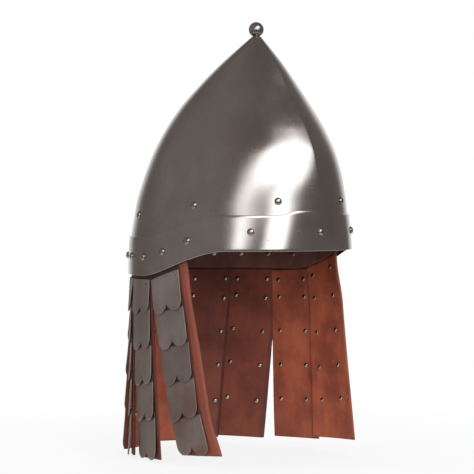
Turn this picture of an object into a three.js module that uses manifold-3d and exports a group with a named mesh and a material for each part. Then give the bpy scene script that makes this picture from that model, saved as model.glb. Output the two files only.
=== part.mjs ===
// Byzantine helmet: a ridged steel skull with brow band and ball finial, a laced leather liner,
// and an aventail of nine leather straps clad with overlapping steel scales. Millimetres, +Z up,
// face towards -Y.
import * as THREE from 'three';
import Module from 'manifold-3d';
import { mergeVertices } from 'three/addons/utils/BufferGeometryUtils.js';

const wasm = await Module();
wasm.setup();

// Skull. Heights are above the middle of the front rim.
const SKULL_HEIGHT = 213;
const SKULL_HALF_LENGTH = 123.4;
const SKULL_HALF_WIDTH = 103.4;
const SKULL_SHEET = 1.5;
const SKULL_SHEET_AT_POINT = 2.3;
const SKULL_EDGE_ABOVE_RIM = 3;
const SKULL_ROW_ABOVE_BAND = 2;
const COLUMNS = 48;
// Forward travel of the section's centre, from the rim to the point.
const CENTRE_FORWARD_AT_POINT = 26.3;

// Skull section at each level as shares of the height, half length, half width, centre travel and ridge rise.
const levelShares = [-0.169, 0, 0.211, 0.329, 0.451, 0.563, 0.665, 0.77, 0.864, 0.939, 1];
const lengthShares = [1.01, 1, 0.932, 0.876, 0.791, 0.678, 0.551, 0.408, 0.277, 0.155, 0.048];
const widthShares = [1.007, 1, 0.973, 0.927, 0.86, 0.768, 0.65, 0.492, 0.326, 0.18, 0.056];
const centreShares = [0, 0, 0.07, 0.175, 0.268, 0.325, 0.39, 0.53, 0.705, 0.862, 1];
const ridgeShares = [0, 0, 0.211, 0.33, 0.45, 0.563, 0.665, 0.77, 0.864, 0.94, 0.8];
const RIDGE_RISE = 0.24;
const RIDGE_SPREAD_DEG = 55;

// Rim: level over the face, lower at the sides and back.
const RIM_DIP = 26.5;
const RIM_DIP_FROM_DEG = 51;
const RIM_DIP_TO_DEG = 104;

// Brow band.
const BAND_HEIGHT = 35.3;
const BAND_BACK_RISE = 3.5;
const BAND_FRONT_RISE = 4.4;
const KNEE_ABOVE_RIM = 8;
const BAND_RISE_FROM_DEG = 14;
const BAND_RISE_TO_DEG = 24;
const BAND_SHEET = 1.5;
const SHEET_GAP = 0.35;
const BAND_RIVET_ABOVE_RIM = 19;
const BAND_RIVET_SIDE_DEG = 39;
const YOKE_FIRST_RIVET_DEG = 72;
const YOKE_RIVETS_A_SIDE = 7;

// Domed rivets of the band and of the liner.
const RIVET_HEAD_RADIUS = 3.5;
const RIVET_HEAD_HEIGHT = 2.3;
const RIVET_SHANK_RADIUS = 1.5;
const RIVET_TAIL_RADIUS = 3.1;
const RIVET_TAIL_HEIGHT = 1.3;
const RIVET_HOLE_RADIUS = 2.1;
const RIVET_SIDES = 6;
const RIDGE_CLEARANCE = 0.9;
const RIVET_BITE = 0.4;

// Yoke leather inside the band.
const YOKE_LEATHER = 3;
const YOKE_HEIGHT = 33;
const YOKE_BELOW_RIM = 0.2;
const YOKE_FROM_DEG = 63;

// Straps of the aventail: one at the back and four on each side. Runs along the rim grow to the
// wearer's left.
const STRAPS_A_SIDE = 4;
const STRAP_PITCH = 46;
const BACK_STRAP_TO_LEFT = 5.5;
const STRAP_SLIT = 1.6;
const STRAP_WIDTH_TOP = STRAP_PITCH - STRAP_SLIT;
const STRAP_TAPER = 1.4;
const STRAP_WIDTH_HEM = STRAP_WIDTH_TOP - STRAP_TAPER;
const CHEEK_MARGIN_TOP = 7;
const CHEEK_MARGIN_HEM = 11;
const TURNED_EDGE_RISE = 0.4;
const TURNED_EDGE_INSET = 0.9;
const STRAP_LEATHER = 3;
const HINGE_BELOW_RIM = 1.2;
const STRAP_TOP_ABOVE_HINGE = 0.3;
const HEM_BELOW_FRONT_RIM = 209;
const CHEEK_HEM_RAISE = 3;
// Lean of each strap to the wearer's left, from the right cheek round the back to the left cheek.
const strapLeanDeg = [-13, -8, -6.5, -5.5, -5, -5, -5.3, 1.7, 7.5];

// Scale plates.
const ROWS = 5;
const ROW_PITCH = 36;
const PLATE_INSET = 2.2;
const PLATE_WIDTH = STRAP_WIDTH_TOP - 2 * PLATE_INSET;
const PLATE_HEIGHT = 46;
const PLATE_SHEET = 1.1;
const PLATE_LAP_GAP = 0.4;
const PLATE_GAP = 0.35;
const HEM_MARGIN = 1.5;
const FIRST_PLATE_BELOW_HINGE = 3.2;
const FIRST_RIVET_BELOW_PLATE_TOP = 5;
const PLATE_RIVET_BELOW_TOP = 5;
const PLATE_RIVET_INSET = 3.5;
const PLATE_RIVET_SPACING = PLATE_WIDTH - 2 * PLATE_RIVET_INSET;
const PLATE_RIVET_SHANK_RADIUS = 1;
const PLATE_RIVET_HOLE_RADIUS = 1.45;
const PLATE_RIVET_HEAD_RADIUS = 2.5;
const PLATE_RIVET_HEAD_HEIGHT = 1.4;
const PLATE_RIVET_HEAD_TOP_RADIUS = 1.5;
const PLATE_RIVET_SIDES = 6;
// Half outline of a plate's lower edge from the side to the cut, as shares of the half width and of
// the lobe depth.
const lobeAcrossShares = [1, 0.9, 0.66, 0.4, 0.13, 0];
const lobeDepthShares = [0, 0.62, 0.98, 0.95, 0.5, 0];
const LOBE_DEPTH = 9;

// Liner.
const LINER_LEATHER = 2.4;
const LINER_GAP = 0.5;
const LINER_RIVET_ABOVE_RIM = 49;
const LINER_DIP_SHARE = 0.55;
const LINER_BELOW_RIVET = 12;
const LINER_ABOVE_RIVET = 13;
const LINER_ROW_INSET = 2;
const linerRivetDeg = [24, 69.5, 115, 160.5];
const TONGUE_HALF_ANGLE_DEG = 15;
const TONGUE_LEATHER = 2.1;
const TONGUE_LEAN_IN = 4;
const TONGUE_STATIONS = 6;
const TONGUE_SINK = 6;
const TONGUE_HEM_WIDTH = 9;
const CROWN_HEIGHT = 122;
const CROWN_RING_RADIUS = 31;
const CROWN_RING_FORWARD = 8;
const TONGUE_RISE = 52;
const TONGUE_REACH = 34;
const HEM_RADIUS = 4.7;
const HEM_BORE_RADIUS = 2.5;
const HEM_SIDES = 6;
const LACE_RADIUS = 1.4;
const LACE_SEGMENTS = 32;
const LACE_SIDES = 5;

// Finial.
const BALL_RADIUS = 7.6;
const BALL_ABOVE_POINT = 8.6;
const NECK_RADIUS = 3.2;
const COLLAR_RADIUS = 5.4;
const COLLAR_HEIGHT = 0.9;
const COLLAR_GAP = 0.35;
const STEM_RADIUS = 2.2;
const STEM_BELOW_POINT = 4.6;
const WASHER_RADIUS = 5.4;
const WASHER_HEIGHT = 1.5;
const FINIAL_SIDES = 16;
const BALL_STEPS = 7;

const DEG = Math.PI / 180;
const FULL_TURN = 2 * Math.PI;
const TIE = 1e-4;

const steel = { color: 0x67625f, roughness: 0.28, metalness: 1 };
const bandSteel = { color: 0x6a6562, roughness: 0.3, metalness: 1 };
const scaleSteel = { color: 0x6f6a66, roughness: 0.55, metalness: 0.9 };
const strapLeather = { color: 0x8e4a2e, roughness: 0.75, metalness: 0 };
const linerLeather = { color: 0x6e4630, roughness: 0.8, metalness: 0 };
const cord = { color: 0x4a3326, roughness: 0.9, metalness: 0 };

// Booleans: three.js geometry to a manifold solid and back.
function toSolid(geometry) {
  const bare = geometry.clone();
  bare.deleteAttribute('normal');
  bare.deleteAttribute('uv');
  const merged = mergeVertices(bare, TIE);
  const points = merged.attributes.position;
  const corners = [];
  let volume = 0;
  for (let i = 0; i < merged.index.count; i += 3) {
    const [a, b, c] = [0, 1, 2].map((k) => merged.index.getX(i + k));
    if (a === b || b === c || c === a) continue;
    corners.push(a, b, c);
    const [p, q, r] = [a, b, c].map((k) => new THREE.Vector3().fromBufferAttribute(points, k));
    volume += p.dot(q.cross(r));
  }
  if (volume < 0) corners.reverse();
  return new wasm.Manifold(new wasm.Mesh({
    numProp: 3,
    vertProperties: new Float32Array(points.array),
    triVerts: new Uint32Array(corners),
  }));
}

function toGeometry(solid) {
  const mesh = solid.getMesh();
  const geometry = new THREE.BufferGeometry();
  geometry.setAttribute('position', new THREE.BufferAttribute(new Float32Array(mesh.vertProperties), 3));
  geometry.setIndex(new THREE.BufferAttribute(new Uint32Array(mesh.triVerts), 1));
  geometry.computeVertexNormals();
  return geometry;
}

function named(name, geometry, finish) {
  const mesh = new THREE.Mesh(geometry, new THREE.MeshStandardMaterial(finish));
  mesh.name = name;
  return mesh;
}

function join(solids) {
  return solids.reduce((whole, next) => whole.add(next));
}

function smooth(t) {
  const c = Math.min(Math.max(t, 0), 1);
  return c * c * (3 - 2 * c);
}

function shareAt(shares, z) {
  const level = z / SKULL_HEIGHT;
  let i = 1;
  while (i < levelShares.length - 1 && level > levelShares[i]) i += 1;
  const t = (level - levelShares[i - 1]) / (levelShares[i] - levelShares[i - 1]);
  return shares[i - 1] + (shares[i] - shares[i - 1]) * Math.min(t, 1);
}

// Angle from the front, as 0 to 180 on both sides.
function fromFront(angle) {
  const turn = ((angle % FULL_TURN) + FULL_TURN) % FULL_TURN;
  return Math.min(turn, FULL_TURN - turn) / DEG;
}

// A point on the skull's outer surface at an angle from the front, moved outwards by off.
function skullPoint(angle, z, off) {
  const half = shareAt(lengthShares, z) * SKULL_HALF_LENGTH + off;
  const across = shareAt(widthShares, z) * SKULL_HALF_WIDTH + off;
  const centre = -shareAt(centreShares, z) * CENTRE_FORWARD_AT_POINT;
  const near = Math.max(1 - fromFront(angle) / RIDGE_SPREAD_DEG, 0);
  const ridge = 1 + RIDGE_RISE * shareAt(ridgeShares, z) * near * near;
  return new THREE.Vector3(across * Math.sin(angle) * ridge, centre - half * Math.cos(angle) * ridge, z);
}

function skullNormal(angle, z) {
  const step = DEG;
  const along = skullPoint(angle + step, z, 0).sub(skullPoint(angle - step, z, 0));
  const up = skullPoint(angle, z + 1, 0).sub(skullPoint(angle, z - 1, 0));
  return along.cross(up).normalize();
}

function dipShare(angle) {
  return smooth((fromFront(angle) - RIM_DIP_FROM_DEG) / (RIM_DIP_TO_DEG - RIM_DIP_FROM_DEG));
}

function rimHeight(angle) {
  return -RIM_DIP * dipShare(angle);
}

function bandTop(angle) {
  const t = (fromFront(angle) - BAND_RISE_FROM_DEG) / (BAND_RISE_TO_DEG - BAND_RISE_FROM_DEG);
  const height = BAND_HEIGHT + BAND_BACK_RISE * dipShare(angle) + BAND_FRONT_RISE * (1 - smooth(t));
  return rimHeight(angle) + height;
}

// The row at which skull, band and yoke all bend from the upright rim to the rising skull.
function kneeRow(angle) {
  return Math.max(0, rimHeight(angle) + KNEE_ABOVE_RIM);
}

function linerRivetHeight(angle) {
  return LINER_RIVET_ABOVE_RIM + LINER_DIP_SHARE * rimHeight(angle);
}

// A closed shell between two grids of points with the same rows and columns.
function shell(outer, inner, closedAround) {
  const rows = outer.length;
  const columns = outer[0].length;
  const positions = [];
  [outer, inner].forEach((grid) => grid.forEach((row) => row.forEach((p) => positions.push(p.x, p.y, p.z))));
  const at = (side, r, c) => side * rows * columns + r * columns + (c % columns);
  const index = [];
  const quad = (a, b, c, d) => index.push(a, b, c, a, c, d);
  const spans = closedAround ? columns : columns - 1;
  for (let c = 0; c < spans; c += 1) {
    for (let r = 0; r < rows - 1; r += 1) {
      quad(at(0, r, c), at(0, r, c + 1), at(0, r + 1, c + 1), at(0, r + 1, c));
      quad(at(1, r, c), at(1, r + 1, c), at(1, r + 1, c + 1), at(1, r, c + 1));
    }
    quad(at(1, 0, c), at(1, 0, c + 1), at(0, 0, c + 1), at(0, 0, c));
    quad(at(0, rows - 1, c), at(0, rows - 1, c + 1), at(1, rows - 1, c + 1), at(1, rows - 1, c));
  }
  if (!closedAround) {
    for (let r = 0; r < rows - 1; r += 1) {
      quad(at(1, r, 0), at(0, r, 0), at(0, r + 1, 0), at(1, r + 1, 0));
      const last = columns - 1;
      quad(at(0, r, last), at(1, r, last), at(1, r + 1, last), at(0, r + 1, last));
    }
  }
  const geometry = new THREE.BufferGeometry();
  geometry.setAttribute('position', new THREE.BufferAttribute(new Float32Array(positions), 3));
  geometry.setIndex(index);
  return geometry;
}

function columnAngles(fromDeg, toDeg) {
  const step = 360 / COLUMNS;
  const inside = [...Array(COLUMNS).keys()].map((i) => i * step).filter((a) => a > fromDeg && a < toDeg);
  return [fromDeg, ...inside, toDeg].map((a) => a * DEG);
}

const roundAngles = [...Array(COLUMNS).keys()].map((i) => (i * FULL_TURN) / COLUMNS);

// A solid turned about its own axis and set on the skull with that axis along the outward normal.
function turnedOnSkull(profile, sides, angle, z, off) {
  const points = profile.map(([r, h]) => new THREE.Vector2(r, h));
  const geometry = new THREE.LatheGeometry(points, sides);
  const normal = skullNormal(angle, z);
  const turn = new THREE.Quaternion().setFromUnitVectors(new THREE.Vector3(0, 1, 0), normal);
  geometry.applyQuaternion(turn);
  const place = skullPoint(angle, z, 0).addScaledVector(normal, off);
  geometry.translate(place.x, place.y, place.z);
  return toSolid(geometry);
}

function domedRivet(angle, z, seat, grip) {
  const foot = -seat - grip;
  return turnedOnSkull([
    [0, foot - RIVET_TAIL_HEIGHT],
    [RIVET_TAIL_RADIUS, foot - RIVET_TAIL_HEIGHT],
    [RIVET_TAIL_RADIUS, foot],
    [RIVET_SHANK_RADIUS, foot],
    [RIVET_SHANK_RADIUS, -RIVET_BITE],
    [RIVET_HEAD_RADIUS, -RIVET_BITE],
    [RIVET_HEAD_RADIUS * 0.8, RIVET_HEAD_HEIGHT * 0.62],
    [0, RIVET_HEAD_HEIGHT],
  ], RIVET_SIDES, angle, z, seat);
}

function holeOnSkull(angle, z, radius, depth) {
  const profile = [[0, -depth], [radius, -depth], [radius, depth], [0, depth]];
  return turnedOnSkull(profile, RIVET_SIDES, angle, z, 0);
}

function yokeRivetAngles() {
  const step = (180 - YOKE_FIRST_RIVET_DEG) / YOKE_RIVETS_A_SIDE;
  const right = [...Array(YOKE_RIVETS_A_SIDE).keys()].map((i) => (YOKE_FIRST_RIVET_DEG + i * step) * DEG);
  return [...right, Math.PI, ...right.map((a) => FULL_TURN - a)];
}

function frontRivetAngles() {
  return [0, BAND_RIVET_SIDE_DEG * DEG, FULL_TURN - BAND_RIVET_SIDE_DEG * DEG];
}

function linerRivetAngles() {
  const right = linerRivetDeg.map((a) => a * DEG);
  return [...right, ...right.map((a) => FULL_TURN - a)];
}

function bandRivetHeight(angle) {
  return rimHeight(angle) + BAND_RIVET_ABOVE_RIM;
}

const yokeFace = -SKULL_SHEET - SHEET_GAP;
const yokeBack = yokeFace - YOKE_LEATHER;
const linerFace = -SKULL_SHEET - LINER_GAP;
const linerBack = linerFace - LINER_LEATHER;

function makeSkull() {
  const edgeRow = (a) => rimHeight(a) + SKULL_EDGE_ABOVE_RIM;
  const lowRows = [edgeRow, kneeRow, (a) => bandTop(a) + SKULL_ROW_ABOVE_BAND];
  const highRows = levelShares.slice(2).map((share) => () => share * SKULL_HEIGHT);
  const rows = [...lowRows, ...highRows];
  const sheetAt = (z) => SKULL_SHEET + (SKULL_SHEET_AT_POINT - SKULL_SHEET) * smooth(z / SKULL_HEIGHT);
  const row = (height, off) => roundAngles.map((a) => skullPoint(a, height(a), off(height(a))));
  const grid = (off) => rows.map((height) => row(height, off));
  const body = toSolid(shell(grid(() => 0), grid((z) => -sheetAt(z)), true));
  const holes = [...yokeRivetAngles(), ...frontRivetAngles()]
    .map((a) => holeOnSkull(a, bandRivetHeight(a), RIVET_HOLE_RADIUS, RIVET_HEAD_RADIUS + SKULL_SHEET));
  const rivets = linerRivetAngles()
    .map((a) => domedRivet(a, linerRivetHeight(a), 0, -linerBack + SHEET_GAP));
  return named('skull', toGeometry(join([body.subtract(join(holes)), ...rivets])), steel);
}

function makeBrowBand() {
  const row = (edge, off) => roundAngles.map((a) => skullPoint(a, edge(a), off));
  const grid = (off) => [rimHeight, kneeRow, bandTop].map((edge) => row(edge, off));
  const face = SHEET_GAP + BAND_SHEET;
  const body = toSolid(shell(grid(face), grid(SHEET_GAP), true));
  const back = yokeRivetAngles().map((a) => domedRivet(a, bandRivetHeight(a), face, -yokeBack + SHEET_GAP));
  const front = frontRivetAngles()
    .map((a) => domedRivet(a, bandRivetHeight(a), face, SKULL_SHEET + RIDGE_CLEARANCE));
  return named('brow_band', toGeometry(join([body, ...back, ...front])), bandSteel);
}

function makeYoke() {
  const angles = columnAngles(YOKE_FROM_DEG, 360 - YOKE_FROM_DEG);
  const rows = [(a) => rimHeight(a) - YOKE_BELOW_RIM, kneeRow, (a) => rimHeight(a) + YOKE_HEIGHT];
  const grid = (off) => rows.map((height) => angles.map((a) => skullPoint(a, height(a), off)));
  const body = toSolid(shell(grid(yokeFace), grid(yokeBack), false));
  const holes = yokeRivetAngles()
    .map((a) => holeOnSkull(a, bandRivetHeight(a), RIVET_HOLE_RADIUS, RIVET_HEAD_RADIUS + YOKE_LEATHER));
  return named('yoke', toGeometry(body.subtract(join(holes))), strapLeather);
}

// One tongue of the liner: rises from the head band and turns in to the hem over the lace.
function tongue(angle) {
  const base = linerRivetHeight(angle) + LINER_ABOVE_RIVET - TONGUE_SINK;
  const middle = (linerFace + linerBack) / 2;
  const heading = linerHeading(angle);
  const outward = new THREE.Vector3(Math.sin(heading), -Math.cos(heading), 0);
  const along = new THREE.Vector3(Math.cos(heading), Math.sin(heading), 0);
  const ring = CROWN_RING_RADIUS + (HEM_RADIUS + HEM_BORE_RADIUS) / 2;
  const lines = [-1, 0, 1].map((u) => {
    const turn = angle + u * TONGUE_HALF_ANGLE_DEG * DEG;
    const foot = skullPoint(turn, base, middle);
    const lean = skullPoint(turn, base + LINER_ABOVE_RIVET, middle).sub(foot).normalize();
    const end = new THREE.Vector3(0, -CROWN_RING_FORWARD, CROWN_HEIGHT)
      .addScaledVector(outward, ring).addScaledVector(along, (u * TONGUE_HEM_WIDTH) / 2);
    const rise = foot.clone().addScaledVector(lean, TONGUE_RISE).addScaledVector(outward, -TONGUE_LEAN_IN);
    return new THREE.CubicBezierCurve3(foot, rise, end.clone().addScaledVector(outward, TONGUE_REACH), end);
  });
  const grid = (side) => [...Array(TONGUE_STATIONS).keys()].map((i) => {
    const share = i / (TONGUE_STATIONS - 1);
    const across = lines[2].getPoint(share).sub(lines[0].getPoint(share));
    return lines.map((line) => {
      const normal = across.clone().cross(line.getTangent(share)).normalize();
      return line.getPoint(share).addScaledVector(normal, side * TONGUE_LEATHER / 2);
    });
  });
  return toSolid(shell(grid(1), grid(-1), false)).add(hemCylinder(heading, HEM_RADIUS, TONGUE_HEM_WIDTH));
}

function hemCylinder(heading, radius, length) {
  const geometry = new THREE.CylinderGeometry(radius, radius, length, HEM_SIDES);
  const tangent = new THREE.Vector3(Math.cos(heading), Math.sin(heading), 0);
  geometry.applyQuaternion(new THREE.Quaternion().setFromUnitVectors(new THREE.Vector3(0, 1, 0), tangent));
  const [x, y] = [Math.sin(heading), -Math.cos(heading)].map((v) => v * CROWN_RING_RADIUS);
  geometry.translate(x, y - CROWN_RING_FORWARD, CROWN_HEIGHT);
  return toSolid(geometry);
}

function linerHeading(angle) {
  const footHeight = linerRivetHeight(angle) + LINER_ABOVE_RIVET - TONGUE_SINK;
  const foot = skullPoint(angle, footHeight, (linerFace + linerBack) / 2);
  return Math.atan2(foot.x, -foot.y - CROWN_RING_FORWARD);
}

function makeLiner() {
  const knee = levelShares[2] * SKULL_HEIGHT;
  const lowEdge = (a) => linerRivetHeight(a) - LINER_BELOW_RIVET;
  const highEdge = (a) => linerRivetHeight(a) + LINER_ABOVE_RIVET;
  const middle = (a) => Math.min(Math.max(knee, lowEdge(a) + LINER_ROW_INSET), highEdge(a) - LINER_ROW_INSET);
  const row = (edge, off) => roundAngles.map((a) => skullPoint(a, edge(a), off));
  const grid = (off) => [lowEdge, middle, highEdge].map((edge) => row(edge, off));
  const band = toSolid(shell(grid(linerFace), grid(linerBack), true));
  const angles = linerRivetAngles();
  const bores = angles.map((a) => hemCylinder(linerHeading(a), HEM_BORE_RADIUS, TONGUE_HEM_WIDTH * 2));
  const holeReach = RIVET_HEAD_RADIUS + LINER_LEATHER;
  const holes = angles.map((a) => holeOnSkull(a, linerRivetHeight(a), RIVET_HOLE_RADIUS, holeReach));
  const whole = join([band, ...angles.map(tongue)]).subtract(join(bores)).subtract(join(holes));
  return named('liner', toGeometry(whole), linerLeather);
}

function makeLace() {
  const geometry = new THREE.TorusGeometry(CROWN_RING_RADIUS, LACE_RADIUS, LACE_SIDES, LACE_SEGMENTS);
  geometry.translate(0, -CROWN_RING_FORWARD, CROWN_HEIGHT);
  return named('lace', toGeometry(toSolid(geometry)), cord);
}

function makeFinial() {
  const seat = SKULL_HEIGHT + COLLAR_GAP;
  const ballCentre = SKULL_HEIGHT + BALL_ABOVE_POINT;
  const washerTop = SKULL_HEIGHT - STEM_BELOW_POINT;
  const startAngle = Math.asin(NECK_RADIUS / BALL_RADIUS);
  const ball = [...Array(BALL_STEPS + 1).keys()].map((i) => {
    const a = startAngle + ((Math.PI - startAngle) * i) / BALL_STEPS;
    return [BALL_RADIUS * Math.sin(a), ballCentre - BALL_RADIUS * Math.cos(a)];
  });
  ball[BALL_STEPS][0] = 0;
  const profile = [
    [0, washerTop - WASHER_HEIGHT],
    [WASHER_RADIUS, washerTop - WASHER_HEIGHT],
    [WASHER_RADIUS, washerTop],
    [STEM_RADIUS, washerTop],
    [STEM_RADIUS, seat],
    [COLLAR_RADIUS, seat],
    [COLLAR_RADIUS, seat + COLLAR_HEIGHT],
    [NECK_RADIUS, seat + COLLAR_HEIGHT + TIE],
    ...ball,
  ];
  const geometry = new THREE.LatheGeometry(profile.map(([r, z]) => new THREE.Vector2(r, z)), FINIAL_SIDES);
  geometry.rotateX(Math.PI / 2);
  geometry.translate(0, -CENTRE_FORWARD_AT_POINT, 0);
  return named('finial', toGeometry(toSolid(geometry)), steel);
}

// Angle of the point on the rim at a run of leather measured from the middle of the back.
function rimAngleAt(run) {
  const step = DEG / 4;
  const radius = yokeFace - YOKE_LEATHER / 2;
  let turn = 0;
  let left = Math.abs(run);
  while (left > 0) {
    const [here, next] = [turn, turn + step].map((t) => skullPoint(Math.PI - t, 0, radius));
    left -= here.distanceTo(next);
    turn += step;
  }
  return Math.PI - Math.sign(run) * turn;
}

function strapRun(i) {
  return STRAP_PITCH * i + BACK_STRAP_TO_LEFT;
}

// The frame of one strap: the middle of its hinge line, outward, across (to the wearer's left) and
// down the strap.
function strapFrame(i) {
  const angle = rimAngleAt(strapRun(i));
  const flat = skullNormal(angle, 0);
  const out = new THREE.Vector3(flat.x, flat.y, 0).normalize();
  const level = new THREE.Vector3(out.y, -out.x, 0);
  const lean = strapLeanDeg[i + STRAPS_A_SIDE] * DEG;
  const down = new THREE.Vector3(0, 0, -Math.cos(lean)).addScaledVector(level, Math.sin(lean));
  const across = level.clone().multiplyScalar(Math.cos(lean)).add(new THREE.Vector3(0, 0, Math.sin(lean)));
  const place = skullPoint(angle, rimHeight(angle), yokeFace - YOKE_LEATHER / 2);
  const rimBeside = (s) => rimHeight(rimAngleAt(strapRun(i) + (s * STRAP_WIDTH_TOP) / 2));
  const [rightRim, leftRim] = [-1, 1].map(rimBeside);
  const tilt = Math.atan((leftRim - rightRim) / STRAP_WIDTH_TOP);
  place.z = Math.min(rimHeight(angle), (rightRim + leftRim) / 2) - HINGE_BELOW_RIM;
  const hem = HEM_BELOW_FRONT_RIM - (Math.abs(i) === STRAPS_A_SIDE ? CHEEK_HEM_RAISE : 0);
  return { out, across, down, place, length: (hem + place.z) / Math.cos(lean), tilt: tilt - lean };
}

// Sets a solid drawn as (across, down, out) into a strap's frame.
function setInFrame(geometry, frame) {
  const turn = new THREE.Matrix4().makeBasis(frame.across, frame.down, frame.out);
  turn.setPosition(frame.place);
  geometry.applyMatrix4(turn);
  return geometry;
}

function slab(points, from, thick) {
  const shape = new THREE.Shape(points.map(([u, w]) => new THREE.Vector2(u, w)));
  const geometry = new THREE.ExtrudeGeometry(shape, {
    depth: thick, bevelEnabled: false,
  });
  geometry.deleteAttribute('normal');
  geometry.deleteAttribute('uv');
  geometry.translate(0, 0, from);
  return mergeVertices(geometry, TIE);
}

function turnedAt(profile, sides, u, w) {
  const geometry = new THREE.LatheGeometry(profile.map(([r, h]) => new THREE.Vector2(r, h)), sides);
  geometry.rotateX(Math.PI / 2);
  geometry.translate(u, w, 0);
  geometry.deleteAttribute('normal');
  geometry.deleteAttribute('uv');
  return mergeVertices(geometry, TIE);
}

function rowBottom(frame, row) {
  return frame.length - HEM_MARGIN - ROW_PITCH * (ROWS - 1 - row);
}

function rowTop(frame, row) {
  return Math.max(rowBottom(frame, row) - PLATE_HEIGHT, FIRST_PLATE_BELOW_HINGE);
}

function rivetDown(frame, row) {
  const drop = row === 0 ? FIRST_RIVET_BELOW_PLATE_TOP : PLATE_RIVET_BELOW_TOP;
  return rowTop(frame, row) + drop;
}

function rivetPlaces(frame, row) {
  return [-1, 1].map((s) => [(s * PLATE_RIVET_SPACING) / 2, rivetDown(frame, row)]);
}

// The edge that a cheek strap turns over beside its scales.
function turnedEdge(frame, side) {
  const inner = STRAP_WIDTH_TOP / 2 + TURNED_EDGE_INSET;
  const topOuter = STRAP_WIDTH_TOP / 2 + CHEEK_MARGIN_TOP - TURNED_EDGE_INSET;
  const hemOuter = STRAP_WIDTH_TOP / 2 + CHEEK_MARGIN_HEM - TURNED_EDGE_INSET;
  const top = FIRST_PLATE_BELOW_HINGE;
  const hem = frame.length - TURNED_EDGE_INSET;
  const corners = [[inner, top], [topOuter, top], [hemOuter, hem], [inner, hem]];
  const outline = corners.map(([u, w]) => [side * u, w]);
  return toSolid(setInFrame(slab(outline, 0, STRAP_LEATHER / 2 + TURNED_EDGE_RISE), frame));
}

function makeStrap(name, frame, i) {
  const side = Math.abs(i) === STRAPS_A_SIDE ? Math.sign(i) : 0;
  const half = STRAP_WIDTH_TOP / 2;
  const hemHalf = STRAP_WIDTH_HEM / 2;
  const rise = Math.tan(frame.tilt);
  const [topRight, topLeft] = [-1, 1].map((s) => s * (half + (s === side ? CHEEK_MARGIN_TOP : 0)));
  const [hemRight, hemLeft] = [-1, 1].map((s) => s * (s === side ? half + CHEEK_MARGIN_HEM : hemHalf));
  const outline = [
    [topRight, -STRAP_TOP_ABOVE_HINGE - topRight * rise],
    [topLeft, -STRAP_TOP_ABOVE_HINGE - topLeft * rise],
    [hemLeft, frame.length],
    [hemRight, frame.length],
  ];
  let body = toSolid(setInFrame(slab(outline, -STRAP_LEATHER / 2, STRAP_LEATHER), frame));
  if (side !== 0) body = body.add(turnedEdge(frame, side));
  for (let row = 0; row < ROWS; row += 1) {
    rivetPlaces(frame, row).forEach(([u, w]) => {
      const reach = STRAP_LEATHER;
      const bore = PLATE_RIVET_HOLE_RADIUS;
      const profile = [[0, -reach], [bore, -reach], [bore, reach], [0, reach]];
      body = body.subtract(toSolid(setInFrame(turnedAt(profile, PLATE_RIVET_SIDES, u, w), frame)));
    });
  }
  return named(name, toGeometry(body), strapLeather);
}

function plateOutline(top, bottom) {
  const half = PLATE_WIDTH / 2;
  const base = bottom - LOBE_DEPTH;
  const right = lobeAcrossShares.map((share, k) => [share * half, base + lobeDepthShares[k] * LOBE_DEPTH]);
  const left = right.slice(0, -1).reverse().map(([u, w]) => [-u, w]);
  return [[-half, top], [half, top], ...right, ...left];
}

// A plate leans out towards its lower edge, to lap over the row below it.
function makePlate(name, frame, row) {
  const bottom = rowBottom(frame, row);
  const lean = (PLATE_SHEET + PLATE_LAP_GAP) / ROW_PITCH;
  const rest = STRAP_LEATHER / 2 + PLATE_GAP;
  const fullTop = bottom - PLATE_HEIGHT;
  const plate = slab(plateOutline(rowTop(frame, row), bottom), rest, PLATE_SHEET);
  const place = plate.attributes.position;
  for (let k = 0; k < place.count; k += 1) {
    place.setZ(k, place.getZ(k) + lean * (place.getY(k) - fullTop));
  }
  let body = toSolid(setInFrame(plate, frame));
  const seat = rest + lean * (rivetDown(frame, row) - fullTop) + PLATE_SHEET / 2;
  const back = -STRAP_LEATHER / 2 - PLATE_GAP;
  rivetPlaces(frame, row).forEach(([u, w]) => {
    const profile = [
      [0, back - PLATE_RIVET_HEAD_HEIGHT],
      [PLATE_RIVET_HEAD_TOP_RADIUS, back - PLATE_RIVET_HEAD_HEIGHT],
      [PLATE_RIVET_HEAD_RADIUS, back],
      [PLATE_RIVET_SHANK_RADIUS, back],
      [PLATE_RIVET_SHANK_RADIUS, seat],
      [0, seat],
    ];
    body = body.add(toSolid(setInFrame(turnedAt(profile, PLATE_RIVET_SIDES, u, w), frame)));
  });
  return named(name, toGeometry(body), scaleSteel);
}

function strapLabel(i) {
  if (i === 0) return 'back';
  return i < 0 ? `right_${-i}` : `left_${i}`;
}

function makeAventail() {
  const pieces = [];
  for (let i = -STRAPS_A_SIDE; i <= STRAPS_A_SIDE; i += 1) {
    const label = strapLabel(i);
    const frame = strapFrame(i);
    pieces.push(makeStrap(`strap_${label}`, frame, i));
    for (let row = 0; row < ROWS; row += 1) {
      pieces.push(makePlate(`scale_${label}_row_${row + 1}`, frame, row));
    }
  }
  return pieces;
}

function build() {
  const helmet = new THREE.Group();
  helmet.name = 'byzantine_helmet';
  helmet.add(makeSkull(), makeBrowBand(), makeFinial(), makeYoke(), makeLiner(), makeLace());
  helmet.add(...makeAventail());
  return helmet;
}

export default build();
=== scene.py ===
import math

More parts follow.
